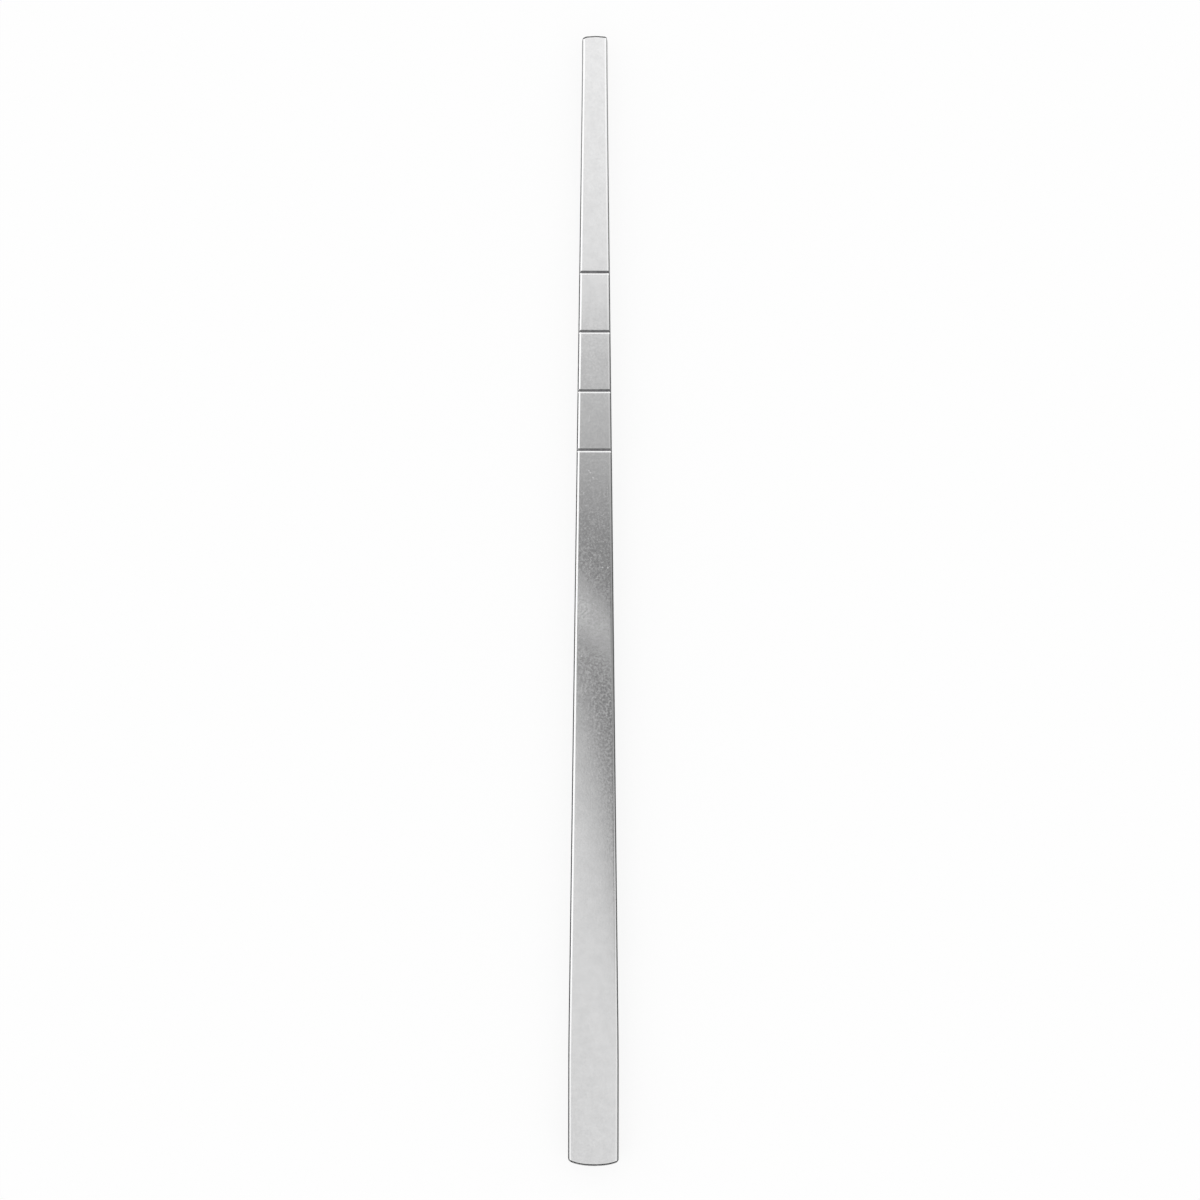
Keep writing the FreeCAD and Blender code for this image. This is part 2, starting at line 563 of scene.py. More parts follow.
def break_long_edges(bar, sizes):
    """Rounds the four long edges."""

    def long_edge(edge):
        if len(edge.link_faces) != 2:
            return False
        one, two = (face.normal for face in edge.link_faces)
        if abs(one.z) < abs(two.z):
            one, two = two, one
        return abs(one.z) > SQUARE_ON and abs(two.x) > SQUARE_ON

    pick(bar, "EDGE", long_edge, needed=4)
    round_over(sizes.edge_radius, EDGE_SEGMENTS)


def grind_bevel(sizes):
    """Grinds the single bevel on the back of the tip."""
    start_y = sizes.length / 2 - sizes.bevel_length
    start_z = sizes.thickness - sizes.blade_thickness
    fall = sizes.blade_thickness - sizes.edge_land
    trim_at((0, start_y, start_z), (0, fall, -sizes.bevel_length))


def hone_corners(sizes):
    """Rounds the two corners of the cutting edge, upright and over the front, with rows of cuts."""
    for side, radius in ((-1, sizes.left_corner), (1, sizes.right_corner)):
        centre = Vector((side * (sizes.tip_width / 2 - radius), sizes.length / 2 - radius, 0))
        for step in range(CORNER_CUTS):
            turn = math.radians(90) * (step + 0.5) / CORNER_CUTS
            outward = Vector((side * math.cos(turn), math.sin(turn), 0))
            trim_at(centre + radius * outward, outward)
            over = centre + (radius - sizes.tip_round) * outward
            for slope in tip_slopes(sizes):
                lean = math.sin(slope) * outward + Vector((0, 0, math.cos(slope)))
                ball = over + Vector((0, 0, sizes.thickness - sizes.tip_round))
                trim_at(ball + sizes.tip_round * lean, lean)


def tip_slopes(sizes):
    """Slopes of the cuts that break the front of the cutting edge."""
    steepest = math.acos(1 - sizes.edge_land / sizes.tip_round)
    first_step = 0.6
    return [steepest * (step + first_step) / FRONT_CUTS for step in range(FRONT_CUTS)]


def soften_cutting_edge(sizes):
    """Breaks the front of the cutting edge over a small arc with a row of cuts."""
    radius = sizes.tip_round
    steepest = math.acos(1 - sizes.edge_land / radius)
    centre_y = sizes.length / 2 - radius * math.sin(steepest)
    centre = Vector((0, centre_y, sizes.thickness - radius))
    for slope in tip_slopes(sizes):
        outward = Vector((0, math.sin(slope), math.cos(slope)))
        trim_at(centre + radius * outward, outward)


def engrave_marks(bar, sizes, marks):
    """Cuts the depth marks across the front face."""
    floor_z = sizes.thickness - marks.engraving
    for number in range(marks.count):
        y = sizes.length / 2 - marks.first_depth - number * marks.spacing
        for offset in (-marks.width, -marks.floor_width, marks.floor_width, marks.width):
            pick(bar, "FACE", lambda f: f.normal.z > FRONT_LEAN)
            slice_at((0, y + offset / 2, 0), (0, 1, 0))

        def sunk(vertex):
            on_line = abs(abs(vertex.co.y - y) - marks.floor_width / 2) < TINY / 4
            return on_line and vertex.co.z > floor_z

        pick(bar, "VERT", sunk, needed=4)
        bpy.ops.transform.resize(value=(1, 1, 0), center_override=(0, y, floor_z))


def even_lines(reach, count):
    """Evenly spaced places from one side of the middle to the other, without the outermost two."""
    return [n / count * reach for n in range(1 - count, count)]


def crown_butt(bar, sizes):
    """Crowns the struck end and rounds its rim."""
    end_y = -sizes.length / 2
    block_y = end_y + CROWN_BLOCK
    middle_z = sizes.thickness / 2
    slice_all((0, block_y, 0), (0, 1, 0))
    across = even_lines(sizes.butt_width / 2 - sizes.edge_radius, CROWN_LINES_ACROSS)
    upward = even_lines(sizes.thickness / 2 - sizes.edge_radius, CROWN_LINES_UP)
    planes = [((x, 0, 0), (1, 0, 0)) for x in across]
    planes += [((0, 0, middle_z + z), (0, 0, 1)) for z in upward]
    for place, normal in planes:
        pick(bar, "FACE", lambda f: middle(f).y < block_y and abs(f.normal.y) < ALONGSIDE)
        slice_at(place, normal)
    pick(bar, "FACE", lambda f: f.normal.y < -SQUARE_ON)
    bpy.ops.mesh.inset(thickness=sizes.rim_radius + RIM_MARGIN, use_even_offset=True)
    inner = sizes.butt_width / 2 - sizes.rim_radius - RIM_MARGIN + TINY / 2

    def inside_rim(face):
        return face.normal.y < -SQUARE_ON and all(abs(v.co.x) < inner for v in face.verts)

    for place, normal in planes:
        pick(bar, "FACE", inside_rim)
        slice_at(place, normal)
    pick(bar, "VERT", lambda v: v.co.y < end_y + TINY)
    bpy.ops.object.vertex_group_assign_new()
    bpy.ops.object.mode_set(mode="OBJECT")
    bar.vertex_groups[-1].name = "struck_face"

    start_clean()
    bpy.ops.mesh.primitive_uv_sphere_add(
        segments=EGG_SEGMENTS,
        ring_count=EGG_SEGMENTS // 2,
        radius=1,
        location=(sizes.crown_offset, end_y + sizes.crown_egg[1], middle_z),
        scale=tuple(sizes.crown_egg),
    )
    former = bpy.context.active_object
    take(bar)
    bpy.ops.object.modifier_add(type="SHRINKWRAP")
    wrap = bar.modifiers[-1]
    wrap.target = former
    wrap.wrap_method = "PROJECT"
    wrap.use_project_y = True
    wrap.use_negative_direction = True
    wrap.use_positive_direction = True
    wrap.vertex_group = "struck_face"
    bpy.ops.object.modifier_apply(modifier=wrap.name)
    take(former)
    bpy.ops.object.delete()
    take(bar)
    bar.vertex_groups.clear()
    bpy.ops.object.mode_set(mode="EDIT")

    def rim(edge):
        on_crown = [face.normal.y < -CROWN_LEAN for face in edge.link_faces]
        return sorted(on_crown) == [False, True]

    pick(bar, "EDGE", rim, needed=20)
    round_over(sizes.rim_radius, EDGE_SEGMENTS)


def settle_normals(bar):
    """Shades curves smoothly and keeps the ground faces flat."""
    bpy.ops.mesh.select_all(action="SELECT")
    bpy.ops.mesh.normals_make_consistent(inside=False)
    bpy.ops.object.mode_set(mode="OBJECT")
    bpy.ops.object.shade_smooth_by_angle(angle=SMOOTH_ANGLE)
    bpy.ops.object.modifier_add(type="WEIGHTED_NORMAL")
    even = bar.modifiers[-1]
    even.keep_sharp = True
    bpy.ops.object.modifier_apply(modifier=even.name)


def new_group(name, inputs, outputs):
    """An empty shader node group with named sockets."""
    group = bpy.data.node_groups.new(name, "ShaderNodeTree")
    for label, kind, default in inputs:
        socket = group.interface.new_socket(name=label, in_out="INPUT", socket_type=kind)
        if default is not None:
            socket.default_value = default
    for label, kind in outputs:
        group.interface.new_socket(name=label, in_out="OUTPUT", socket_type=kind)
    return group, group.nodes.new("NodeGroupInput"), group.nodes.new("NodeGroupOutput")


def add_node(tree, kind, **settings):
    """A node with its settings. A setting whose name starts with a capital is a socket's value."""
    node = tree.nodes.new(kind)
    for name, value in settings.items():
        if name[0].isupper():
            node.inputs[name.replace("_", " ")].default_value = value
        else:
            setattr(node, name, value)
    return node


def maths(tree, operation, first, second):
    """A Math node whose two inputs are sockets or numbers."""
    node = tree.nodes.new("ShaderNodeMath")
    node.operation = operation
    for socket, value in zip(node.inputs, (first, second)):
        if isinstance(value, (int, float)):
            socket.default_value = value
        else:
            tree.links.new(value, socket)
    return node.outputs[0]


def remap(tree, value, low, high, to_low, to_high, smooth=False):
    """A Map Range node from one span to another."""
    node = add_node(
        tree,
        "ShaderNodeMapRange",
        interpolation_type="SMOOTHSTEP" if smooth else "LINEAR",
        From_Min=low,
        From_Max=high,
        To_Min=to_low,
        To_Max=to_high,
    )
    tree.links.new(value, node.inputs["Value"])
    return node.outputs["Result"]


def make_grain_group():
    """Fine mottling of a polished bar: tiny hills, and cloudy patches a few times larger."""
    group, start, end = new_group(
        "fine_grain",
        [("Vector", "NodeSocketVector", None), ("Cells per Metre", "NodeSocketFloat", 2200.0)],
        [
            ("Height", "NodeSocketFloat"),
            ("Mottle", "NodeSocketFloat"),
            ("Speckle", "NodeSocketFloat"),
        ],
    )
    link = group.links.new
    patches_per_cell = 0.22
    fine = add_node(group, "ShaderNodeTexNoise", Detail=2.0, Roughness=0.55)
    link(start.outputs["Vector"], fine.inputs["Vector"])
    link(start.outputs["Cells per Metre"], fine.inputs["Scale"])
    cloudy = add_node(group, "ShaderNodeTexNoise", Detail=3.0, Roughness=0.6)
    link(start.outputs["Vector"], cloudy.inputs["Vector"])
    patches = maths(group, "MULTIPLY", start.outputs["Cells per Metre"], patches_per_cell)
    link(patches, cloudy.inputs["Scale"])
    link(fine.outputs[0], end.inputs["Height"])
    both = maths(group, "ADD", fine.outputs[0], cloudy.outputs[0])
    link(remap(group, both, 0.7, 1.3, 0.0, 1.0), end.inputs["Mottle"])
    link(remap(group, fine.outputs[0], 0.42, 0.66, 0.0, 1.0), end.inputs["Speckle"])
    return group


def make_lines_group():
    """Faint straight lines that a polishing belt leaves, along the Y axis of its vector."""
    group, start, end = new_group(
        "belt_lines",
        [
            ("Vector", "NodeSocketVector", None),
            ("Lines per Metre", "NodeSocketFloat", 8000.0),
            ("Stretch", "NodeSocketFloat", 0.015),
        ],
        [("Height", "NodeSocketFloat"), ("Deep Lines", "NodeSocketFloat")],
    )
    link = group.links.new
    scale = group.nodes.new("ShaderNodeCombineXYZ")
    link(start.outputs["Lines per Metre"], scale.inputs["X"])
    along = maths(group, "MULTIPLY", start.outputs["Lines per Metre"], start.outputs["Stretch"])
    link(along, scale.inputs["Y"])
    link(start.outputs["Lines per Metre"], scale.inputs["Z"])
    stretched = add_node(group, "ShaderNodeVectorMath", operation="MULTIPLY")
    link(start.outputs["Vector"], stretched.inputs[0])
    link(scale.outputs[0], stretched.inputs[1])
    lines = add_node(group, "ShaderNodeTexNoise", Scale=1.0, Detail=2.0, Roughness=0.6)
    link(stretched.outputs[0], lines.inputs["Vector"])
    link(lines.outputs[0], end.inputs["Height"])
    deep = remap(group, lines.outputs[0], 0.62, 0.75, 0.0, 1.0)
    link(deep, end.inputs["Deep Lines"])
    return group


def make_wear_group():
    """Small nicks and short scratches from handling, scattered thinly."""
    group, start, end = new_group(
        "handling_wear",
        [("Vector", "NodeSocketVector", None), ("Nicks per Metre", "NodeSocketFloat", 260.0)],
        [("Nicks", "NodeSocketFloat"), ("Scratches", "NodeSocketFloat")],
    )
    link = group.links.new
    cells = add_node(group, "ShaderNodeTexVoronoi", feature="F1")
    link(start.outputs["Vector"], cells.inputs["Vector"])
    link(start.outputs["Nicks per Metre"], cells.inputs["Scale"])
    shade = add_node(group, "ShaderNodeSeparateColor")
    link(cells.outputs["Color"], shade.inputs[0])
    cells_without_nick = 0.72
    chosen = maths(group, "GREATER_THAN", shade.outputs[0], cells_without_nick)
    spot = remap(group, cells.outputs["Distance"], 0.02, 0.06, 1.0, 0.0)
    link(maths(group, "MULTIPLY", spot, chosen), end.inputs["Nicks"])

    scratch_turn = (0, 0, math.radians(24))
    scratches_per_metre = (5200, 150, 900)
    turned = add_node(
        group,
        "ShaderNodeMapping",
        vector_type="POINT",
        Rotation=scratch_turn,
        Scale=scratches_per_metre,
    )
    link(start.outputs["Vector"], turned.inputs["Vector"])
    hair = add_node(group, "ShaderNodeTexNoise", Scale=1.0, Detail=1.0, Roughness=0.5)
    link(turned.outputs[0], hair.inputs["Vector"])
    link(remap(group, hair.outputs[0], 0.73, 0.8, 0.0, 1.0), end.inputs["Scratches"])
    return group


def make_waves_group():
    """Slow unevenness that hand polishing leaves, which bends what the steel reflects."""
    group, start, end = new_group(
        "polish_waves",
        [("Vector", "NodeSocketVector", None)],
        [("Height", "NodeSocketFloat")],
    )
    link = group.links.new
    waves_per_metre = (110, 45, 110)
    scaled = add_node(group, "ShaderNodeMapping", Scale=waves_per_metre)
    link(start.outputs["Vector"], scaled.inputs["Vector"])
    slow = add_node(group, "ShaderNodeTexNoise", Scale=1.0, Detail=1.0, Roughness=0.4)
    link(scaled.outputs[0], slow.inputs["Vector"])
    link(slow.outputs[0], end.inputs["Height"])
    return group


def put_group(tree, group, vector, **settings):
    """A node group in a material, with its own values."""
    node = tree.nodes.new("ShaderNodeGroup")
    node.node_tree = group
    tree.links.new(vector, node.inputs["Vector"])
    for name, value in settings.items():
        node.inputs[name.replace("_", " ")].default_value = value
    return node


def bump(tree, height, depth, below=None):
    """A Bump node that adds a height of that depth to what is below it."""
    node = add_node(tree, "ShaderNodeBump", Strength=1.0, Distance=depth)
    tree.links.new(height, node.inputs["Height"])
    if below is not None:
        tree.links.new(below, node.inputs["Normal"])
    return node.outputs["Normal"]


def mix_colour(tree, share, low, high):
    """A colour between two, each a colour or a socket."""
    node = add_node(tree, "ShaderNodeMix", data_type="RGBA")
    tree.links.new(share, node.inputs["Factor"])
    for socket, value in ((node.inputs[6], low), (node.inputs[7], high)):
        if isinstance(value, bpy.types.NodeSocket):
            tree.links.new(value, socket)
        else:
            socket.default_value = (*value, 1.0)
    return node.outputs[2]


def empty_material(name):
    """A material that has no nodes yet, and its tree."""
    material = bpy.data.materials.new(name)
    material.use_nodes = True
    material.node_tree.nodes.clear()
    return material, material.node_tree


def steel_material(name):
    """A metal material, its tree and shader, object coordinates and the surface's direction."""
    material, tree = empty_material(name)
    shader = add_node(tree, "ShaderNodeBsdfPrincipled", Metallic=1.0)
    output = tree.nodes.new("ShaderNodeOutputMaterial")
    tree.links.new(shader.outputs[0], output.inputs["Surface"])
    place = tree.nodes.new("ShaderNodeTexCoord")
    facing = add_node(tree, "ShaderNodeSeparateXYZ")
    tree.links.new(place.outputs["Normal"], facing.inputs[0])
    return material, tree, shader, place.outputs["Object"], facing.outputs


def nick_spots(tree, place, height):
    """Mask of the small nicks on the front face, at that height, for their dents and their painted
    glint.
    """
    core = 0.04 * MM
    rim = 0.2 * MM
    mask = None
    for x, y in FACE_NICKS:
        apart = add_node(tree, "ShaderNodeVectorMath", operation="DISTANCE")
        apart.inputs[1].default_value = (x, y, height)
        tree.links.new(place, apart.inputs[0])
        spot = remap(tree, apart.outputs["Value"], core, rim, 1.0, 0.0, smooth=True)
        mask = spot if mask is None else maths(tree, "MAXIMUM", mask, spot)
    return mask


def rounded_edges(tree, facing):
    """Mask of the rounded long edges: where the surface faces neither the front nor a side."""
    sideways = maths(tree, "ABSOLUTE", facing["X"], 0)
    off_face = remap(tree, sideways, 0.05, 0.3, 0.0, 1.0, smooth=True)
    off_flank = remap(tree, sideways, 0.6, 0.8, 1.0, 0.0, smooth=True)
    return maths(tree, "MULTIPLY", off_face, off_flank)


def polished_steel(groups, finish, sizes):
    """Satin polish of the faces, the flanks and the rounded edges, with a painted highlight of
    lighter steel on the rounded edges and on the nicks.
    """
    material, tree, shader, place, facing = steel_material("polished_steel")
    link = tree.links.new
    cells = 1 / finish.grain_size
    lines = 1 / finish.line_width
    grain = put_group(tree, groups["grain"], place, Cells_per_Metre=cells)
    belt = put_group(tree, groups["lines"], place, Lines_per_Metre=lines)
    wear = put_group(tree, groups["wear"], place)
    waves = put_group(tree, groups["waves"], place)
    colour = mix_colour(tree, grain.outputs["Mottle"], finish.dull, finish.bright)
    nicks = nick_spots(tree, place, sizes.thickness)
    # Painted highlight: lighter steel on the rounded long edges and on the nicks.
    painted_highlight = maths(tree, "MAXIMUM", rounded_edges(tree, facing), nicks)
    link(mix_colour(tree, painted_highlight, colour, finish.painted_highlight), shader.inputs["Base Color"])
    rough = remap(tree, grain.outputs["Speckle"], 0, 1, finish.gloss, finish.satin)
    duller = ((belt.outputs["Deep Lines"], 0.06), (wear.outputs["Scratches"], 0.12), (nicks, 0.12))
    for mask, amount in duller:
        rough = maths(tree, "ADD", rough, maths(tree, "MULTIPLY", mask, amount))
    link(rough, shader.inputs["Roughness"])
    dents = maths(tree, "MAXIMUM", wear.outputs["Nicks"], nicks)
    normal = bump(tree, waves.outputs["Height"], depth=0.02 * MM)
    normal = bump(tree, dents, depth=-0.004 * MM, below=normal)
    normal = bump(tree, belt.outputs["Height"], depth=0.0004 * MM, below=normal)
    normal = bump(tree, grain.outputs["Height"], depth=0.0035 * MM, below=normal)
    link(normal, shader.inputs["Normal"])
    return material


def ground_steel(groups, finish):
    """Fresh grinding of the bevel, with its lines across the blade."""
    material, tree, shader, place, _ = steel_material("ground_steel")
    link = tree.links.new
    across_blade = (0, 0, math.radians(90))
    turned = add_node(tree, "ShaderNodeMapping", Rotation=across_blade)
    link(place, turned.inputs["Vector"])
    belt = put_group(
        tree, groups["lines"], turned.outputs[0], Lines_per_Metre=11000.0, Stretch=0.02
    )
    grain = put_group(tree, groups["grain"], place, Cells_per_Metre=1 / finish.grain_size)
    link(
        mix_colour(tree, belt.outputs["Height"], finish.dull, finish.bright),
        shader.inputs["Base Color"],
    )
    link(remap(tree, grain.outputs["Mottle"], 0, 1, 0.24, 0.17), shader.inputs["Roughness"])
    link(bump(tree, belt.outputs["Height"], depth=0.003 * MM), shader.inputs["Normal"])
    return material


def struck_steel(groups, finish):
    """The crown, dulled and dimpled by the mallet."""
    material, tree, shader, place, _ = steel_material("struck_steel")
    link = tree.links.new
    grain = put_group(tree, groups["grain"], place, Cells_per_Metre=1400.0)
    wear = put_group(tree, groups["wear"], place, Nicks_per_Metre=700.0)
    link(
        mix_colour(tree, grain.outputs["Mottle"], finish.dull, finish.bright),
        shader.inputs["Base Color"],
    )
    link(remap(tree, grain.outputs["Mottle"], 0, 1, 0.26, 0.17), shader.inputs["Roughness"])
    normal = bump(tree, grain.outputs["Height"], depth=0.008 * MM)
    normal = bump(tree, wear.outputs["Nicks"], depth=-0.01 * MM, below=normal)
    link(normal, shader.inputs["Normal"])
    return material


def engraved_steel(groups, finish, sizes, marks):
    """Depth marks: painted shade on the bottom and on the wall nearer the tip, and a painted
    highlight of lighter steel on the other wall.
    """
    material, tree, shader, place, facing = steel_material("engraved_steel")
    link = tree.links.new
    grain = put_group(tree, groups["grain"], place, Cells_per_Metre=6000.0)
    spread = add_node(tree, "ShaderNodeSeparateXYZ")
    link(place, spread.inputs[0])
    floor_z = sizes.thickness - marks.engraving
    painted_shade_top = floor_z + 0.03 * MM
    # Painted shade on the bottom of the mark and on its wall nearer the tip; the rest of the mark
    # gets the painted highlight colour.
    bottom = remap(tree, spread.outputs["Z"], floor_z, painted_shade_top, 1.0, 0.0, smooth=True)
    wall = remap(tree, facing["Y"], -0.1, -0.4, 0.0, 1.0)
    painted_shade = maths(tree, "MAXIMUM", bottom, wall)
    painted_shade = maths(tree, "MULTIPLY", painted_shade, remap(tree, grain.outputs["Mottle"], 0, 1, 1.0, 0.85))
    link(mix_colour(tree, painted_shade, finish.painted_highlight, finish.painted_mark_shade), shader.inputs["Base Color"])
    link(remap(tree, grain.outputs["Mottle"], 0, 1, 0.24, 0.15), shader.inputs["Roughness"])
    link(bump(tree, grain.outputs["Height"], depth=0.004 * MM), shader.inputs["Normal"])
    return material


def finish_faces(bar, sizes, marks, materials):
    """Gives each ground, engraved or struck area of the bar its material."""
    for material in materials:
        bar.data.materials.append(material)
    bpy.ops.object.mode_set(mode="EDIT")
    tip = sizes.length / 2
    marks_y = [tip - marks.first_depth - n * marks.spacing for n in range(marks.count)]

    def on_bevel(face):
        near_tip = middle(face).y > tip - sizes.bevel_length
        return near_tip and face.normal.z < -SQUARE_ON and face.normal.y > BEVEL_LEAN

    def in_mark(face):
        centre = middle(face)
        near = any(abs(centre.y - y) < marks.width / 2 for y in marks_y)
        above_floor = centre.z - sizes.thickness + marks.engraving
        on_wall = abs(face.normal.y) > WALL_LEAN and above_floor > -TINY
        return near and (on_wall or abs(above_floor) < TINY)

    def on_crown(face):
        return middle(face).y < sizes.crown_egg[1] - tip and face.normal.y < -RIM_LEAN

    for index, test in enumerate((on_bevel, in_mark, on_crown), start=1):
        pick(bar, "FACE", test)
        bar.active_material_index = index
        bpy.ops.object.material_slot_assign()
    bpy.ops.object.mode_set(mode="OBJECT")


class CHISEL_OT_make_bar(bpy.types.Operator):
    """Grinds, engraves, crowns and polishes the bar"""

    bl_idname = "chisel.make_bar"
    bl_label = "Ground bar"
    bl_options = {"REGISTER", "UNDO"}

    def execute(self, context):
        sizes = context.scene.chisel_sizes
        marks = context.scene.chisel_marks
        finish = context.scene.chisel_finish
        bar = forge_bar(sizes)
        taper_flanks(bar, sizes)
        thin_back(bar, sizes)
        blend_turns(bar, sizes)
        break_long_edges(bar, sizes)
        grind_bevel(sizes)
        hone_corners(sizes)
        soften_cutting_edge(sizes)
        engrave_marks(bar, sizes, marks)
        crown_butt(bar, sizes)
        settle_normals(bar)
        groups = {
            "grain": make_grain_group(),
            "lines": make_lines_group(),
            "wear": make_wear_group(),
            "waves": make_waves_group(),
        }
        materials = [
            polished_steel(groups, finish, sizes),
            ground_steel(groups, finish),
            engraved_steel(groups, finish, sizes, marks),
            struck_steel(groups, finish),
        ]
        finish_faces(bar, sizes, marks, materials)
        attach(bar, "root")
        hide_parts("chisel")
        return {"FINISHED"}


def plain_emission(name):
    """A material that shines, with its emission node ready for a pattern."""
    material, tree = empty_material(name)
    shine = tree.nodes.new("ShaderNodeEmission")
    output = tree.nodes.new("ShaderNodeOutputMaterial")
    tree.links.new(shine.outputs[0], output.inputs["Surface"])
    return material, tree, shine


def floor_material(settings):
    """White table that keeps a shadow and shines in part for the camera and for reflections."""
    material, tree = empty_material("white_table")
    link = tree.links.new
    matt = add_node(tree, "ShaderNodeBsdfDiffuse", Color=(*settings.floor, 1))
    shine = add_node(tree, "ShaderNodeEmission", Color=(1, 1, 1, 1), Strength=1.0)
    path = tree.nodes.new("ShaderNodeLightPath")
    seen = maths(tree, "MAXIMUM", path.outputs["Is Camera Ray"], path.outputs["Is Glossy Ray"])
    seen = maths(tree, "MAXIMUM", seen, path.outputs["Is Transmission Ray"])
    share = maths(tree, "MULTIPLY", seen, TABLE_SHINE)
    mixed = tree.nodes.new("ShaderNodeMixShader")
    output = tree.nodes.new("ShaderNodeOutputMaterial")
    link(share, mixed.inputs["Fac"])
    link(matt.outputs[0], mixed.inputs[1])
    link(shine.outputs[0], mixed.inputs[2])
    link(mixed.outputs[0], output.inputs["Surface"])
    return material


def lay_floor(settings):
    """A large flat table under the bar."""
    start_clean()
    bpy.ops.mesh.primitive_plane_add(size=TABLE_SIDE, location=(0, 0, 0))
    floor = bpy.context.active_object
    floor.name = "table"
    floor.data.materials.append(floor_material(settings))


def hang_card(name, size, place, turn, material):
    """A studio card that only reflections show."""
    start_clean()
    bpy.ops.mesh.primitive_plane_add(size=1, location=place, rotation=turn)
    card = bpy.context.active_object
    card.name = name
    card.scale = (size[0], size[1], 1)
    card.data.materials.append(material)
    card.visible_camera = False
    card.visible_diffuse = False
    card.visible_shadow = False
    card.visible_transmission = False
    card.visible_volume_scatter = False


def dark_middle(tree, y):
    """Brightness along the bar of what hangs over it: light at both ends, dark over the middle."""
    ramp = add_node(tree, "ShaderNodeValToRGB")
    ramp.color_ramp.interpolation = "B_SPLINE"
    elements = ramp.color_ramp.elements
    while len(elements) < len(OVERHEAD_LEVELS):
        elements.new(0.5)
    for element, (place, level) in zip(elements, OVERHEAD_LEVELS):
        element.position = (place + CARD_REACH) / (2 * CARD_REACH)
        element.color = (level, level, level, 1)
    tree.links.new(remap(tree, y, -CARD_REACH, CARD_REACH, 0, 1), ramp.inputs[0])
    return maths(tree, "MULTIPLY", ramp.outputs[0], OVERHEAD_BRIGHTEST)


def world_place(tree):
    """X, Y and Z of a point on a stage object."""
    geometry = tree.nodes.new("ShaderNodeNewGeometry")
    spread = add_node(tree, "ShaderNodeSeparateXYZ")
    tree.links.new(geometry.outputs["Position"], spread.inputs[0])
    return spread.outputs


def gradient_card_material():
    """Light card that is darkest over the middle of the bar, with one slanting light streak."""
    material, tree, shine = plain_emission("gradient_card")
    x, y, _ = world_place(tree)

    # Past the middle the dark part leans more and more, within the strip that the bar reflects.
    strip = 8 * MM
    near_x = maths(tree, "MAXIMUM", maths(tree, "MINIMUM", x, strip), -strip)
    lean = remap(tree, y, 6 * MM, -16 * MM, 0.0, 3.8, smooth=True)
    level = dark_middle(tree, maths(tree, "ADD", y, maths(tree, "MULTIPLY", near_x, lean)))

    streak_slant = 0.88
    streak_place = -4.3 * MM
    streak_reach = 7.4 * MM
    streak_line = maths(tree, "ADD", y, maths(tree, "MULTIPLY", x, streak_slant))
    from_streak = maths(tree, "ABSOLUTE", maths(tree, "SUBTRACT", streak_line, streak_place), 0)
    streak = remap(tree, from_streak, 0.0, streak_reach, 0.8, 0.0, smooth=True)
    fainter_right = remap(tree, x, -2 * MM, 3 * MM, 1.0, 0.6)
    streak = maths(tree, "MULTIPLY", streak, fainter_right)
    tree.links.new(maths(tree, "ADD", level, streak), shine.inputs["Strength"])
    return material


def side_gradient_material():
    """Right-hand card, light and dark along the bar where the card over it is, but dimmer."""
    material, tree, shine = plain_emission("side_gradient_card")
    level = dark_middle(tree, world_place(tree)[1])
    steeper = maths(tree, "POWER", level, 2.0)
    dimmer = maths(tree, "ADD", maths(tree, "MULTIPLY", steeper, 0.62), 0.25)
    tree.links.new(dimmer, shine.inputs["Strength"])
    return material


def changing_card_material(name, start_y, end_y, start_level, end_level):
    """Card of one grey up to a place along the bar, which then turns to another."""
    material, tree, shine = plain_emission(name)
    y = world_place(tree)[1]
    level = remap(tree, y, start_y, end_y, start_level, end_level, smooth=True)
    tree.links.new(level, shine.inputs["Strength"])
    return material


def plain_card_material(name, level):
    """Card of one even grey."""
    material, _, shine = plain_emission(name)
    shine.inputs["Strength"].default_value = level
    return material


def hang_cards():
    """Cards that give the bar its dark outlines, its bright left edge and its dark middle."""
    over = (0, 0, 0)
    beside = (0, math.radians(90), 0)
    beyond = (math.radians(90), 0, 0)
    overhead = gradient_card_material()
    side_gradient = side_gradient_material()
    light = changing_card_material("light_card", -100 * MM, -55 * MM, 0.92, 1.12)
    dark = changing_card_material("dark_card", 50 * MM, 100 * MM, 0.1, 0.36)
    grey = plain_card_material("grey_card", 0.09)
    black = plain_card_material("black_card", 0.03)

    # Name, size and place in millimetres, turn and material of each card.
    cards = (
        ("gradient_card", (115, 280), (32.5, 0, 120), over, overhead),
        ("side_gradient_card", (100, 300), (90, 0, 70), beside, side_gradient),
        ("left_light_card", (128, 300), (-30, 0, 76), beside, light),
        ("floor_card_left", (22, 240), (-19, 0, 0.1), over, dark),
        ("floor_card_right", (22, 240), (19, 0, 0.1), over, dark),
        ("side_card_left", (14, 240), (-30.2, 0, 7), beside, dark),
        ("side_card_right", (12.5, 240), (30, 0, 6.25), beside, dark),
        ("floor_card_butt", (20, 8), (0, -102.5, 0.1), over, black),
        ("edge_card_butt", (12, 2.4), (0, -96.5, 5.4), beyond, black),
        ("edge_card_tip", (8, 1.4), (0, 96.1, 4.9), beyond, grey),
    )
    for name, size, place, turn, material in cards:
        hang_card(name, Vector(size) * MM, Vector(place) * MM, turn, material)


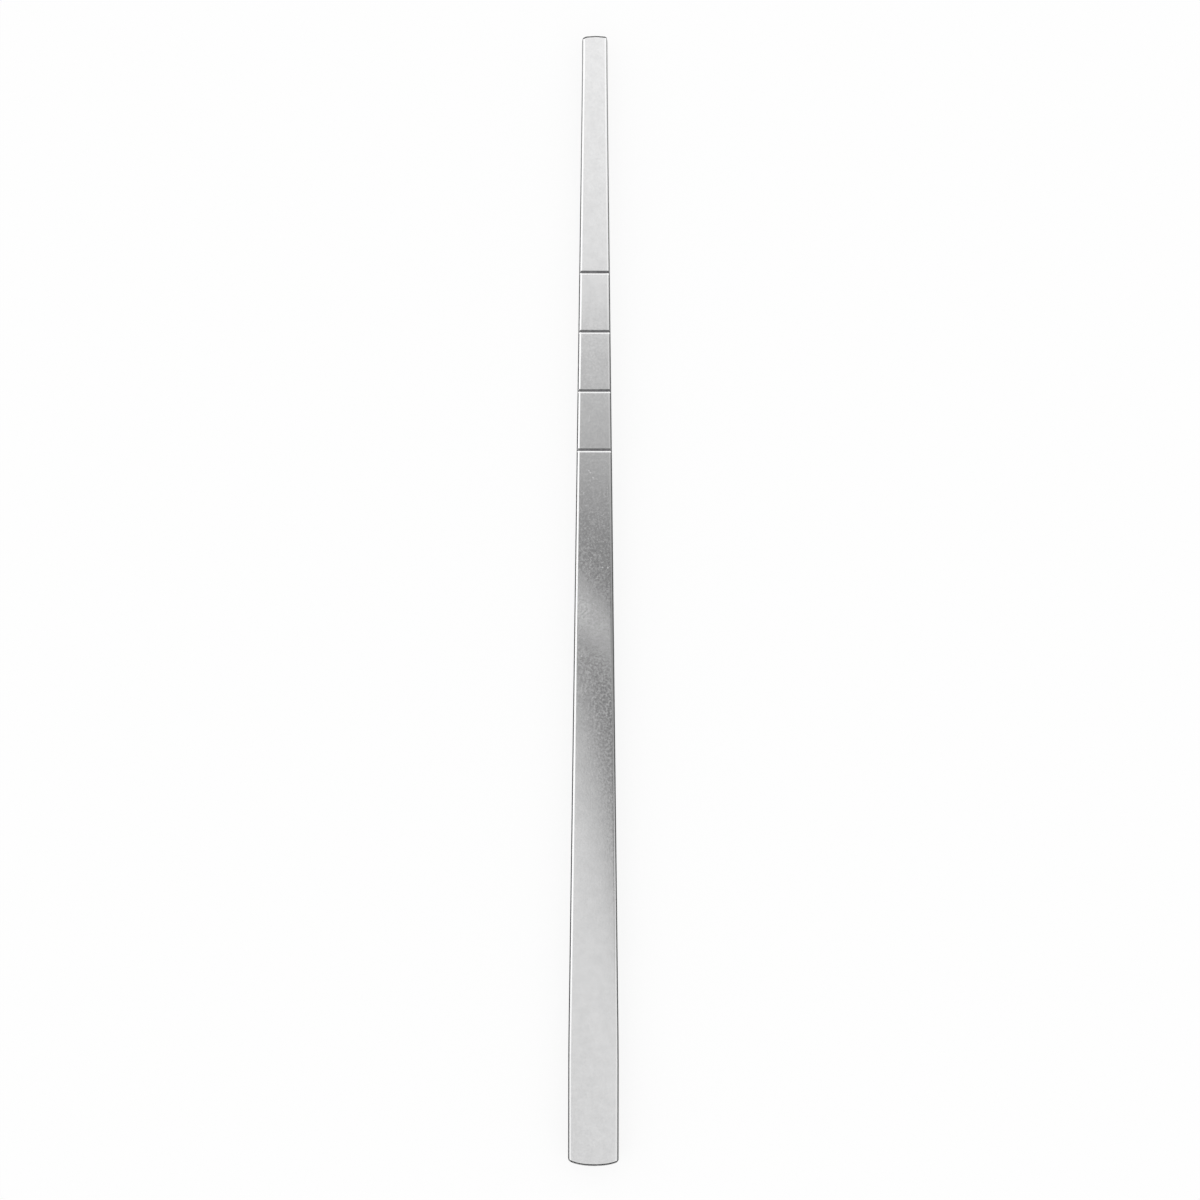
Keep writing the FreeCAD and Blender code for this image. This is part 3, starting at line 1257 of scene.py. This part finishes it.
def light_surround(settings):
    """White surround, slightly brighter overhead than at the horizon."""
    world = bpy.data.worlds.new("white_surround")
    bpy.context.scene.world = world
    world.use_nodes = True
    tree = world.node_tree
    tree.nodes.clear()
    link = tree.links.new
    direction = tree.nodes.new("ShaderNodeTexCoord")
    spread = add_node(tree, "ShaderNodeSeparateXYZ")
    link(direction.outputs["Generated"], spread.inputs[0])
    horizon = 0.95 * settings.sky
    overhead = 1.05 * settings.sky
    level = remap(tree, spread.outputs["Z"], 0.0, 1.0, horizon, overhead)
    back = add_node(tree, "ShaderNodeBackground", Color=(1, 1, 1, 1))
    output = tree.nodes.new("ShaderNodeOutputWorld")
    link(level, back.inputs["Strength"])
    link(back.outputs[0], output.inputs["Surface"])


def place_camera(settings, sizes):
    """Looks straight down on the bar, with the cutting edge at the top of the picture."""
    start_clean()
    height = sizes.thickness + settings.camera_height
    bpy.ops.object.camera_add(
        location=(settings.camera_aside, settings.camera_along, height),
        rotation=(0, 0, settings.camera_turn),
    )
    camera = bpy.context.active_object
    camera.name = "overhead_camera"
    camera.data.lens = camera.data.sensor_width * settings.camera_height / settings.framed_width
    camera.data.clip_start = 0.01
    bpy.context.scene.camera = camera


class CHISEL_OT_set_stage(bpy.types.Operator):
    """Lays the table, hangs the cards, lights the studio and places the camera"""

    bl_idname = "chisel.set_stage"
    bl_label = "Studio table"
    bl_options = {"REGISTER", "UNDO"}

    def execute(self, context):
        settings = context.scene.chisel_studio
        sizes = context.scene.chisel_sizes
        context.scene.view_settings.view_transform = "Standard"
        lay_floor(settings)
        light_surround(settings)
        hang_cards()
        place_camera(settings, sizes)
        return {"FINISHED"}


class CHISEL_PT_panel(bpy.types.Panel):
    """Shows the chisel's settings, with buttons that build the bar and its stage"""

    bl_idname = "CHISEL_PT_panel"
    bl_label = "Nasal chisel"
    bl_space_type = "VIEW_3D"
    bl_region_type = "UI"
    bl_category = "Chisel"

    def draw(self, context):
        layout = self.layout
        groups = (
            context.scene.chisel_sizes,
            context.scene.chisel_marks,
            context.scene.chisel_finish,
            context.scene.chisel_studio,
        )
        for settings in groups:
            box = layout.box()
            for name in settings.__annotations__:
                box.prop(settings, name)
        for operator in (CHISEL_OT_make_bar, CHISEL_OT_set_stage):
            layout.operator(operator.bl_idname)


SETTINGS = {
    "chisel_sizes": ChiselSizes,
    "chisel_marks": MarkSizes,
    "chisel_finish": SteelFinish,
    "chisel_studio": StudioSettings,
}
CLASSES = (*SETTINGS.values(), CHISEL_OT_make_bar, CHISEL_OT_set_stage, CHISEL_PT_panel)


def register():
    for cls in CLASSES:
        bpy.utils.register_class(cls)
    for name, group in SETTINGS.items():
        setattr(bpy.types.Scene, name, PointerProperty(type=group))


def unregister():
    for name in SETTINGS:
        delattr(bpy.types.Scene, name)
    for cls in reversed(CLASSES):
        bpy.utils.unregister_class(cls)


def main():
    """Builds the chisel and its stage."""
    register()
    bpy.ops.chisel.make_bar()
    bpy.ops.chisel.set_stage()


if __name__ == "__main__":
    main()
